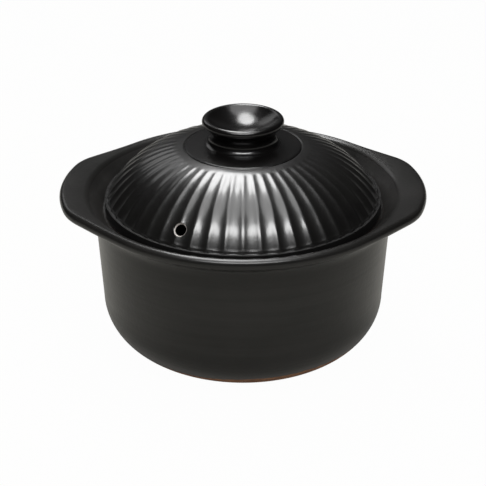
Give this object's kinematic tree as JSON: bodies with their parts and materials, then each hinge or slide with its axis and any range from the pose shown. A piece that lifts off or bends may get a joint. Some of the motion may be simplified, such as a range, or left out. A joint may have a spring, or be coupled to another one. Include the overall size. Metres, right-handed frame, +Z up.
{
  "type": "clay rice pot",
  "caption": "Deep round clay cooking pot with a wide eared flange and a fluted domed lid that lifts off by its flared knob.",
  "frame": {"origin": "middle of the foot ring, on the surface that the pot stands on", "axes": "+Z up through the knob, +X out through one ear, -Y towards the cook"},
  "size_m": [0.2426, 0.22, 0.1618],
  "materials": {
    "pot_glaze": "satin black glaze over red clay, bare on the foot",
    "lid_glaze": "satin black glaze, bare on the seat",
    "knob_glaze": "glossy black glaze"
  },
  "bodies": {
    "pot": {"pot_body": "pot_glaze"},
    "lid": {"lid_dome": "lid_glaze", "lid_knob": "knob_glaze"}
  },
  "joints": [
    {"name": "lid_lift", "type": "slide", "parent": "pot", "child": "lid", "axis": [0, 0, 1], "range_m": [0, 0.12]}
  ]
}
